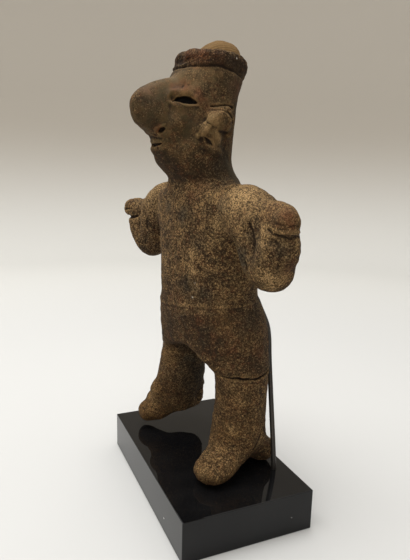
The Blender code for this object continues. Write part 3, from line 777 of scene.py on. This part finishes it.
def shared_group(name):
    """The node group of this name, built the first time that it is asked for."""
    makers = {"Mineral Grain": grain_group, "Settled Dust": dust_group}
    return bpy.data.node_groups.get(name) or makers[name]()


def use_group(tree, name, values):
    """A shared group placed in a material with its own values."""
    node = add_node(tree, "ShaderNodeGroup")
    node.node_tree = shared_group(name)
    for key, value in values.items():
        put(tree, value, node.inputs[key])
    return node.outputs


def new_material(name):
    """A material with its shader and millimetre coordinates that stay on the object."""
    material = bpy.data.materials.new(name)
    material.use_nodes = True
    tree = material.node_tree
    shader = tree.nodes["Principled BSDF"]
    place = add_node(tree, "ShaderNodeTexCoord").outputs["Object"]
    scaled = add_node(tree, "ShaderNodeVectorMath", operation="SCALE")
    put(tree, place, scaled.inputs[0])
    scaled.inputs["Scale"].default_value = 1 / MILLIMETRE
    return material, tree, shader, scaled.outputs[0]


def raise_bumps(tree, height, bump, shader):
    """The height as bumps of this strength and rise in millimetres."""
    strength, rise = bump
    inputs = {"Height": height, "Strength": strength, "Distance": rise * MILLIMETRE}
    bumps = add_node(tree, "ShaderNodeBump", inputs)
    put(tree, bumps.outputs["Normal"], shader.inputs["Normal"])


def coats(tree, colour, layers):
    """The colour under these layers, each with its mask, its share of that mask and its colour."""
    for mask, share, over in layers:
        colour = coat(tree, share_of(tree, mask, share), colour, over)
    return colour


def clay_material(look):
    """Brown fired clay with mineral grain, ochre crust, red slip, dark stains, and painted shade in hollows,
    recesses and carved slots.
    """
    material, tree, shader, place = new_material("Weathered fired clay")
    names = (
        "smooth", "crust", "ochre", "gold_grain", "band", "crown", "hollow", "deep", "carved_line_shade", "chip",
    )
    masks = (finish_mask(tree, name) for name in names)
    smooth, crust, ochre, gold, band, crown, hollow, deep, carved_line_shade, chip = masks
    clouds = blotches(tree, place, 0.075, 4.0, 0.6, 0.4)
    patches = blotches(tree, place, 0.21, 4.0, 0.66, 0.5)
    tint = blotches(tree, place, 0.34, 3.0, 0.7, 0.3)
    uneven = arithmetic(tree, "ADD", clouds, patches)
    coverage = share_of(tree, crust, spread(tree, uneven, 0.75, 1.25, 0.6, 1.3))
    grain, sand = (
        use_group(tree, "Mineral Grain", {"Vector": place, "Crumb Size": size, "Coverage": coverage})
        for size in (COARSE_CRUMBS, FINE_CRUMBS)
    )
    ragged = spread(tree, patches, 0.34, 0.58, 0.5, 1.0)
    # The dark places: mineral stains, and painted shade at the temple, under the jaw, beside the near arm
    # and between the legs.
    stain = share_of(tree, finish_mask(tree, "dark_stain_and_shade"), ragged)
    slip = share_of(tree, finish_mask(tree, "red_slip"), ragged)
    bare = coat(tree, spread(tree, uneven, 0.8, 1.2), look.smooth_olive, look.smooth_tan)

    body = coat(tree, spread(tree, clouds, 0.38, 0.62), look.deep_brown, look.mid_brown)
    body_layers = [
        (spread(tree, patches, 0.46, 0.64), 0.7, look.warm_brown),
        (spread(tree, tint, 0.54, 0.66), 0.5, look.moss_brown),
        (spread(tree, tint, 0.46, 0.34), 0.5, look.red_slip),
        (smooth, 0.8, bare),
        (stain, 0.85, look.dark_stain_and_shade),
        (ochre, 0.5, look.pale_ochre),
        (gold, 0.4, look.gold_grain),
        (band, 0.6, look.deep_brown),
        (slip, 0.8, look.red_slip),
        (grain["Gaps"], spread(tree, smooth, 0.0, 1.0, 0.78, 0.08), look.dark_gaps_and_hollow_shade),
    ]
    body = coats(tree, body, body_layers)

    crumbs = coat(tree, spread(tree, patches, 0.4, 0.6), look.tan_grain, look.pale_ochre)
    crumb_layers = [
        (spread(tree, tint, 0.46, 0.36), 0.45, look.red_grain),
        (gold, 1.0, look.gold_grain),
        (ochre, 0.8, look.bright_crust),
        (stain, 0.85, look.slate_grain),
        (slip, 0.9, look.red_grain),
    ]
    crumbs = coats(tree, crumbs, crumb_layers)

    keep = spread(tree, smooth, 0.0, 1.0, 1.0, 0.07)
    top_layers = [
        (sand["Mask"], share_of(tree, keep, 0.5), crumbs),
        (grain["Mask"], share_of(tree, keep, spread(tree, crust, 0.3, 0.62, 0.6, 1.0)), crumbs),
        (crown, 0.85, look.crown_beige),
        # Painted shade in the small hollows of the skin.
        (spread(tree, hollow, 0.52, 0.9), 0.75, look.dark_gaps_and_hollow_shade),
        (spread(tree, hollow, 0.44, 0.1, 0.0, 0.22), arithmetic(tree, "SUBTRACT", 1.0, band), crumbs),
        # Painted shade in the broad recesses of the skin.
        (deep, 0.6, look.dark_gaps_and_hollow_shade),
        # Painted shade: near black inside the eye slots, mouth, nostrils, ear creases and arm recesses.
        (spread(tree, carved_line_shade, 0.2, 0.9), 1.0, look.carved_line_shade_colour),
        (spread(tree, chip, 0.25, 0.7), 1.0, look.white_chip),
    ]
    put(tree, coats(tree, body, top_layers), shader.inputs["Base Color"])
    put(tree, spread(tree, smooth, 0.0, 1.0, 0.86, 0.62), shader.inputs["Roughness"])
    shader.inputs["Specular IOR Level"].default_value = CLAY_SHINE
    rough_height = arithmetic(tree, "ADD", grain["Height"], share_of(tree, sand["Height"], 0.5))
    height = share_of(tree, rough_height, spread(tree, smooth, 0.0, 1.0, 1.0, 0.25))
    raise_bumps(tree, height, CLAY_BUMP, shader)
    return material


def acrylic_material(look):
    """Black acrylic polished to a mirror, with settled dust and two white flecks."""
    material, tree, shader, place = new_material("Polished black acrylic")
    dust = use_group(tree, "Settled Dust", {"Vector": place, "Amount": look.dust})["Mask"]
    colour = coat(tree, dust, look.black, look.dust_colour)
    for x, y, z, radius in PLINTH_FLECKS:
        centre = tuple(c / MILLIMETRE for c in (x, y, z))
        apart = add_node(tree, "ShaderNodeVectorMath", operation="DISTANCE")
        put(tree, place, apart.inputs[0])
        apart.inputs[1].default_value = centre
        fleck = spread(
            tree, apart.outputs["Value"], radius / MILLIMETRE * 0.6, radius / MILLIMETRE, 1.0, 0.0,
        )
        colour = coat(tree, fleck, colour, look.fleck)
    put(tree, colour, shader.inputs["Base Color"])
    put(tree, spread(tree, dust, 0.0, 0.5, look.gloss, look.gloss + 0.1), shader.inputs["Roughness"])
    shader.inputs["IOR"].default_value = ACRYLIC_INDEX
    shader.inputs["Specular IOR Level"].default_value = ACRYLIC_SHINE
    ripple = blotches(tree, place, 0.05, 2.0, 0.5)
    raise_bumps(tree, ripple, ACRYLIC_BUMP, shader)
    return material


def steel_material(look):
    """Steel rod, blackened, rubbed bright in places and specked with brown rust."""
    material, tree, shader, place = new_material("Blackened steel")
    grain = use_group(
        tree, "Mineral Grain", {"Vector": place, "Crumb Size": STEEL_CRUMBS, "Coverage": 0.4},
    )
    dust = use_group(tree, "Settled Dust", {"Vector": place, "Amount": 0.5})["Mask"]
    rust = share_of(tree, grain["Mask"], spread(tree, blotches(tree, place, 0.12), 0.45, 0.7))
    colour = coat(tree, rust, look.black_oxide, look.rust)
    colour = coat(tree, share_of(tree, dust, 0.3), colour, look.dusty)
    put(tree, colour, shader.inputs["Base Color"])
    put(tree, spread(tree, rust, 0.0, 1.0, 0.34, 0.8), shader.inputs["Roughness"])
    put(tree, spread(tree, rust, 0.0, 1.0, 0.5, 0.1), shader.inputs["Metallic"])
    raise_bumps(tree, grain["Height"], STEEL_BUMP, shader)
    return material


def sweep_material(look):
    """Pale paper of the floor and backdrop, with painted light that makes the floor palest out by the bend
    and painted shade that greys the wall upwards.
    """
    material, tree, shader, _ = new_material("Pale paper")
    place = add_node(tree, "ShaderNodeTexCoord").outputs["Object"]
    height = add_node(tree, "ShaderNodeSeparateXYZ")
    put(tree, place, height.inputs[0])
    # Painted shade greying the wall from fade_from up to fade_to.
    up = spread(tree, height.outputs["Z"], look.fade_from, look.fade_to)
    away = add_node(tree, "ShaderNodeVectorMath", operation="LENGTH")
    put(tree, place, away.inputs[0])
    # Painted light: the floor paler out towards the bend, where shade falls.
    far = spread(tree, away.outputs["Value"], look.pale_from, look.pale_to)
    floor = coat(tree, far, look.paper, look.paper_painted_light_near_wall)
    put(tree, coat(tree, up, floor, look.paper_painted_shade_top), shader.inputs["Base Color"])
    shader.inputs["Roughness"].default_value = 0.9
    shader.inputs["Specular IOR Level"].default_value = 0.1
    return material


def colour_property(label, description, value):
    """A colour that a user can change."""
    return FloatVectorProperty(
        name=label,
        description=description,
        subtype="COLOR",
        size=4,
        min=0,
        max=1,
        default=(*value, 1.0),
    )


class ClayLook(bpy.types.PropertyGroup):
    """Fineness and colours of the fired clay."""

    voxel: FloatProperty(
        name="Carving fineness", description="Voxel of the carved skin, in the figure's millimetres",
        default=0.62, min=0.4, max=2.0,
    )
    softening: IntProperty(
        name="Softening", description="Rounds of smoothing before the carving", default=16, min=0,
        max=60,
    )
    triangles: IntProperty(
        name="Triangles", description="Most triangles in the finished figure", default=188000,
        min=20000, max=199000,
    )
    deep_brown: colour_property("Deep brown", "Darkest body colour of the clay", (0.028, 0.016, 0.0075))
    mid_brown: colour_property("Mid brown", "Usual body colour of the clay", (0.078, 0.044, 0.018))
    warm_brown: colour_property("Warm brown", "Redder patches of the clay", (0.092, 0.040, 0.017))
    moss_brown: colour_property("Moss brown", "Greener patches of the clay", (0.058, 0.048, 0.024))
    smooth_olive: colour_property("Smooth olive", "Greener clay of the face", (0.050, 0.036, 0.011))
    smooth_tan: colour_property("Smooth tan", "Paler clay of the face", (0.088, 0.052, 0.017))
    tan_grain: colour_property("Tan grain", "Mineral crumbs on the skin", (0.250, 0.158, 0.070))
    pale_ochre: colour_property("Pale ochre", "Crust on the shoulders and chest", (0.390, 0.245, 0.104))
    gold_grain: colour_property("Gold grain", "Yellower clay of the feet", (0.195, 0.104, 0.032))
    red_slip: colour_property("Red slip", "Remains of the red slip", (0.130, 0.046, 0.018))
    # Colour of the mineral stains and of the painted shade in the dark places.
    dark_stain_and_shade: colour_property("Dark stain and shade", "Black mineral stain and painted shade", (0.018, 0.017, 0.012))
    crown_beige: colour_property("Crown beige", "Rubbed clay of the crown", (0.175, 0.102, 0.038))
    bright_crust: colour_property(
        "Bright crust", "Palest crumbs on the shoulders", (0.560, 0.362, 0.165),
    )
    slate_grain: colour_property("Slate grain", "Crumbs in the dark stains", (0.060, 0.060, 0.046))
    red_grain: colour_property("Red grain", "Crumbs in the red slip", (0.215, 0.098, 0.044))
    white_chip: colour_property("White chip", "Small fresh flakes", (0.620, 0.560, 0.470))
    # Colour of the gaps between crumbs, and of the painted shade in hollows and recesses.
    dark_gaps_and_hollow_shade: colour_property("Hollow brown", "Dark gaps between crumbs and painted shade in hollows", (0.012, 0.007, 0.004))
    # Colour of the painted shade inside the carved slots, creases and recesses.
    carved_line_shade_colour: colour_property(
        "Slot black", "Inside of the eye slots and the mouth", (0.003, 0.002, 0.0015),
    )


class PlinthLook(bpy.types.PropertyGroup):
    """Finish of the acrylic plinth."""

    gloss: FloatProperty(
        name="Gloss", description="Roughness of the polished faces", default=0.03, min=0.0, max=1.0,
    )
    dust: FloatProperty(
        name="Dust", description="How much dust lies on the faces", default=0.015, min=0.0, max=1.0,
    )
    black: colour_property("Black", "Colour of the acrylic", (0.0035, 0.0035, 0.0038))
    dust_colour: colour_property("Dust colour", "Colour of the dust", (0.30, 0.29, 0.27))
    fleck: colour_property("Fleck", "Colour of the two small flecks", (0.85, 0.83, 0.80))


class RodLook(bpy.types.PropertyGroup):
    """Finish of the support rod."""

    black_oxide: colour_property("Black oxide", "Colour of the blackened steel", (0.022, 0.019, 0.016))
    rust: colour_property("Rust", "Colour of the rust specks", (0.090, 0.050, 0.026))
    dusty: colour_property("Dusty", "Colour of the dust on the rod", (0.20, 0.18, 0.15))


class StageLook(bpy.types.PropertyGroup):
    """Floor, backdrop and lights."""

    floor_radius: FloatProperty(
        name="Floor radius", description="Flat part of the floor", default=0.95, unit="LENGTH",
    )
    curve_radius: FloatProperty(
        name="Curve radius", description="Bend from the floor to the wall", default=0.45, unit="LENGTH",
    )
    wall_height: FloatProperty(
        name="Wall height", description="Top of the backdrop", default=1.15, unit="LENGTH",
    )
    pale_from: FloatProperty(
        # pale_from and pale_to place the painted light on the floor near the wall.
        name="Pale from", description="Distance where the floor gets paler", default=0.35,
        unit="LENGTH",
    )
    pale_to: FloatProperty(
        name="Pale to", description="Distance where the floor is palest", default=0.9, unit="LENGTH",
    )
    # fade_from and fade_to place the painted shade up the wall.
    fade_from: FloatProperty(
        name="Fade from", description="Height where the wall starts to grey", default=-0.05,
        unit="LENGTH",
    )
    fade_to: FloatProperty(
        name="Fade to", description="Height where the wall is greyest", default=0.38, unit="LENGTH",
    )
    paper: colour_property("Paper", "Colour of the floor", (0.548, 0.548, 0.536))
    # Painted light on the floor near the wall.
    paper_painted_light_near_wall: colour_property("Far paper", "Colour of the floor near the wall", (0.640, 0.638, 0.612))
    # Painted shade at the top of the wall.
    paper_painted_shade_top: colour_property("Paper at the top", "Colour of the wall's top", (0.378, 0.346, 0.300))
    sky: FloatProperty(
        name="Sky strength", description="Soft light from all round above", default=1.05, min=0.0,
    )


class CLAYFIGURE_OT_figure(bpy.types.Operator):
    """Carve the weathered clay figure over its solid"""

    bl_idname = "clay_figure.figure"
    bl_label = "Clay Figure"

    def execute(self, context):
        """Builds the piece."""
        look = context.scene.clay_look
        item = copy_of_node("clay_figure", "weathered_clay_figure")
        item.data.transform(to_frame().inverted())
        grid = item.modifiers.new("One skin", "REMESH")
        grid.mode = "VOXEL"
        grid.voxel_size = look.voxel
        soft = item.modifiers.new("Soft clay", "SMOOTH")
        soft.factor = 0.5
        soft.iterations = look.softening
        apply_modifiers(item)
        skin = Skin(item.data)
        carve_details(skin)
        masks = finish_masks(skin, *weather(skin))
        thin = item.modifiers.new("Fewer faces", "DECIMATE")
        thin.ratio = min(1.0, look.triangles / (2 * len(item.data.polygons)))
        apply_modifiers(item)
        store_masks(item.data, skin.points, masks)
        item.data.transform(to_frame())
        smooth_shaded(item.data)
        item.data.materials.append(clay_material(look))
        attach(item, "root")
        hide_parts("clay_figure")
        return {"FINISHED"}


class CLAYFIGURE_OT_plinth(bpy.types.Operator):
    """Polish the acrylic plinth"""

    bl_idname = "clay_figure.plinth"
    bl_label = "Acrylic Plinth"

    def execute(self, context):
        """Gives the solid its finish."""
        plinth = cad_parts["acrylic_plinth"]
        plinth.data.materials.clear()
        plinth.data.materials.append(acrylic_material(context.scene.plinth_look))
        return {"FINISHED"}


class CLAYFIGURE_OT_rod(bpy.types.Operator):
    """Round off and finish the support rod"""

    bl_idname = "clay_figure.rod"
    bl_label = "Support Rod"

    def execute(self, context):
        """Builds the piece."""
        item = copy_of_node("support_rod", "blackened_steel_rod")
        join_triangles(item.data)
        rounder = item.modifiers.new("Round", "SUBSURF")
        rounder.levels = 2
        rounder.render_levels = 2
        width = item.modifiers.new("Full width", "DISPLACE")
        width.strength = ROD_ROUNDING_LOSS
        width.mid_level = 0.0
        apply_modifiers(item)
        smooth_shaded(item.data)
        item.data.materials.append(steel_material(context.scene.rod_look))
        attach(item, "root")
        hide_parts("support_rod")
        return {"FINISHED"}


class CLAYFIGURE_OT_stage(bpy.types.Operator):
    """Lay the pale sweep, hang the soft lights and set the camera"""

    bl_idname = "clay_figure.stage"
    bl_label = "Stage"

    def execute(self, context):
        """Builds the floor, the lights and the camera."""
        look = context.scene.stage_look
        make_sweep(look)
        light_sky(look)
        for softbox in SOFTBOXES:
            add_softbox(*softbox)
        place_camera()
        context.scene.view_settings.view_transform = "Standard"
        return {"FINISHED"}


class CLAYFIGURE_PT_panel(bpy.types.Panel):
    """Lists the steps and what can be changed"""

    bl_idname = "CLAYFIGURE_PT_panel"
    bl_label = "Clay Figure"
    bl_space_type = "VIEW_3D"
    bl_region_type = "UI"
    bl_category = "Clay Figure"

    def draw(self, context):
        """Draws the panel."""
        for operator, group in STEPS:
            box = self.layout.box()
            box.operator(operator.bl_idname)
            settings = getattr(context.scene, group)
            for name in settings.bl_rna.properties.keys():
                if name not in ("rna_type", "name"):
                    box.prop(settings, name)


STEPS = [
    (CLAYFIGURE_OT_figure, "clay_look"),
    (CLAYFIGURE_OT_plinth, "plinth_look"),
    (CLAYFIGURE_OT_rod, "rod_look"),
    (CLAYFIGURE_OT_stage, "stage_look"),
]
LOOKS = {"clay_look": ClayLook, "plinth_look": PlinthLook, "rod_look": RodLook, "stage_look": StageLook}


def make_sweep(look):
    """A round pale floor that curves up into a wall all round."""
    profile = [(0.0, 0.0)]
    profile += [(look.floor_radius * share, 0.0) for share in SWEEP_RINGS]
    for step in range(1, SWEEP_BEND_STEPS + 1):
        a = math.pi / 2 * step / SWEEP_BEND_STEPS
        radius = look.floor_radius + look.curve_radius * math.sin(a)
        profile.append((radius, look.curve_radius * (1 - math.cos(a))))
    profile.append((look.floor_radius + look.curve_radius, look.wall_height))
    shape = bmesh.new()
    rings = []
    for radius, height in profile[1:]:
        ring = []
        for k in range(SWEEP_TURNS):
            a = 2 * math.pi * k / SWEEP_TURNS
            ring.append(shape.verts.new((radius * math.cos(a), radius * math.sin(a), height)))
        rings.append(ring)
    middle = shape.verts.new((0, 0, 0))
    for k in range(SWEEP_TURNS):
        after = (k + 1) % SWEEP_TURNS
        shape.faces.new((middle, rings[0][k], rings[0][after]))
        for low, high in zip(rings, rings[1:]):
            shape.faces.new((low[k], high[k], high[after], low[after]))
    mesh = bpy.data.meshes.new("pale_sweep")
    shape.to_mesh(mesh)
    shape.free()
    sweep = new_object("pale_sweep", mesh)
    smooth_shaded(mesh)
    mesh.materials.append(sweep_material(look))


def light_sky(look):
    """Even soft light from above."""
    world = bpy.data.worlds.new("Soft sky")
    world.use_nodes = True
    background = world.node_tree.nodes["Background"]
    background.inputs["Color"].default_value = SKY_TINT
    background.inputs["Strength"].default_value = look.sky
    bpy.context.scene.world = world


def add_softbox(name, place, target, size, power):
    """A square soft light that faces the target."""
    light = bpy.data.lights.new(name, "AREA")
    light.size = size
    light.energy = power
    item = bpy.data.objects.new(name, light)
    item.location = place
    item.rotation_mode = "QUATERNION"
    item.rotation_quaternion = (Vector(target) - Vector(place)).to_track_quat("-Z", "Y")
    bpy.context.scene.collection.objects.link(item)


def place_camera():
    """The camera that sees the figure from its left front, a little above."""
    back = Vector(
        (
            math.sin(CAMERA_AZIMUTH) * math.cos(CAMERA_ELEVATION),
            -math.cos(CAMERA_AZIMUTH) * math.cos(CAMERA_ELEVATION),
            math.sin(CAMERA_ELEVATION),
        )
    )
    level = Vector((0, 0, 1)).cross(back).normalized()
    upright = back.cross(level)
    right = level * math.cos(CAMERA_ROLL) + upright * math.sin(CAMERA_ROLL)
    up = back.cross(right)
    data = bpy.data.cameras.new("Camera")
    data.lens = CAMERA_LENS
    data.sensor_width = CAMERA_SENSOR
    data.clip_start = 0.01
    camera = bpy.data.objects.new("Camera", data)
    spin = Matrix((right, up, back)).transposed().to_4x4()
    camera.matrix_world = Matrix.Translation(Vector(CAMERA_TARGET) + back * CAMERA_DISTANCE) @ spin
    bpy.context.scene.collection.objects.link(camera)
    bpy.context.scene.camera = camera


def register():
    """Makes the settings, the operators and the panel known."""
    for name, group in LOOKS.items():
        bpy.utils.register_class(group)
        setattr(bpy.types.Scene, name, PointerProperty(type=group))
    for operator, _ in STEPS:
        bpy.utils.register_class(operator)
    bpy.utils.register_class(CLAYFIGURE_PT_panel)


def unregister():
    """Takes them away again."""
    bpy.utils.unregister_class(CLAYFIGURE_PT_panel)
    for operator, _ in reversed(STEPS):
        bpy.utils.unregister_class(operator)
    for name, group in LOOKS.items():
        delattr(bpy.types.Scene, name)
        bpy.utils.unregister_class(group)


def main():
    """Builds every piece and the stage."""
    register()
    bpy.ops.clay_figure.figure()
    bpy.ops.clay_figure.plinth()
    bpy.ops.clay_figure.rod()
    bpy.ops.clay_figure.stage()


if __name__ == "__main__":
    main()
